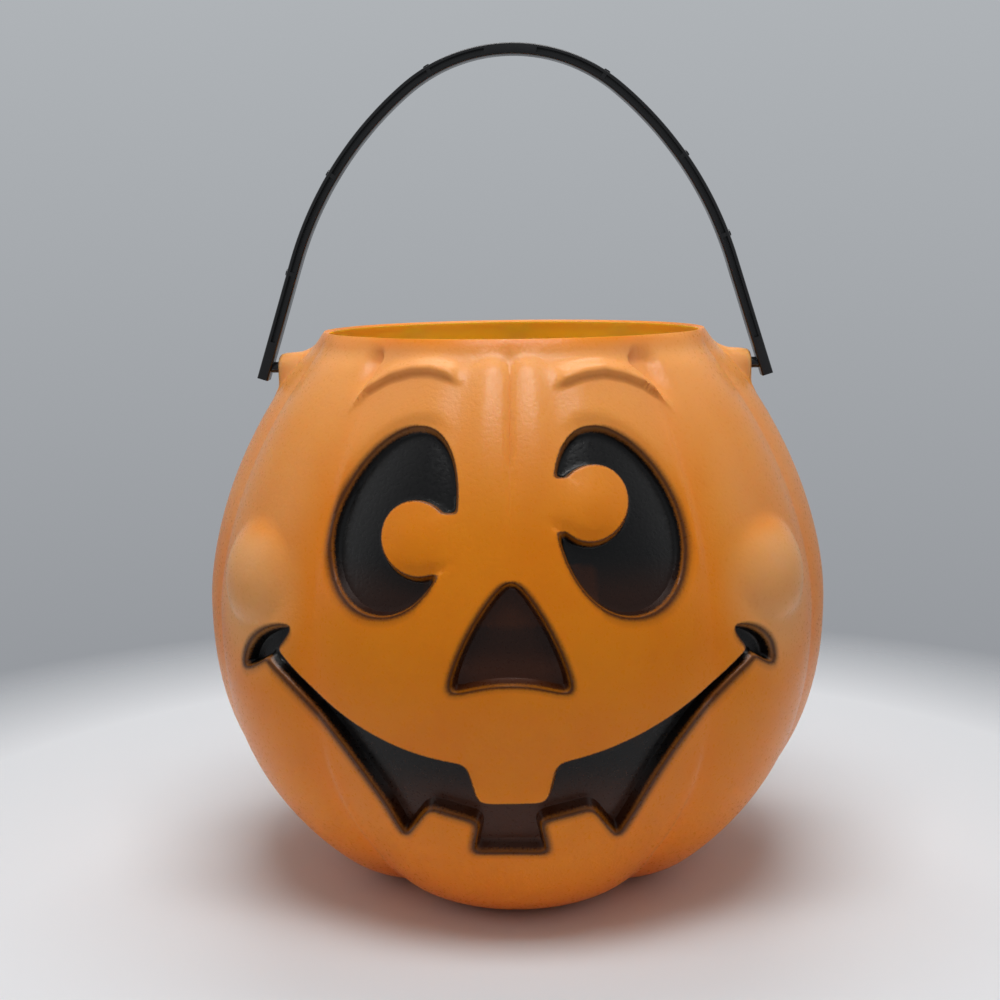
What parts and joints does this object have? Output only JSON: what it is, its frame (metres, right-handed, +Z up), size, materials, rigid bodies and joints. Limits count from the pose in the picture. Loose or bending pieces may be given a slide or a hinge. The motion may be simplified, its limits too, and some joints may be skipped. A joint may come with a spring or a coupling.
{
  "type": "pumpkin candy pail",
  "caption": "Round ribbed pumpkin-shaped treat pail in thin orange plastic, with a recessed jack-o'-lantern face, an open rim and a swinging black carry handle.",
  "frame": {"origin": "middle of the pail's base, on the plane that it stands on", "axes": "+Z up along the pail's axis, the face looks towards -Y, the handle's pivot axis runs along X"},
  "size_m": [0.2182, 0.216, 0.2875],
  "materials": {
    "orange_shell": "satin blow-moulded polyethylene, black paint sprayed in the face recesses",
    "black_handle": "glossy injection-moulded plastic"
  },
  "bodies": {
    "pail": {"pail_shell": "orange_shell"},
    "handle": {"carry_handle": "black_handle"}
  },
  "joints": [
    {"name": "handle_swing", "type": "hinge", "parent": "pail", "child": "handle", "pos_m": [0, 0, 0.1776], "axis": [1, 0, 0], "range_deg": [-96, 96]}
  ]
}
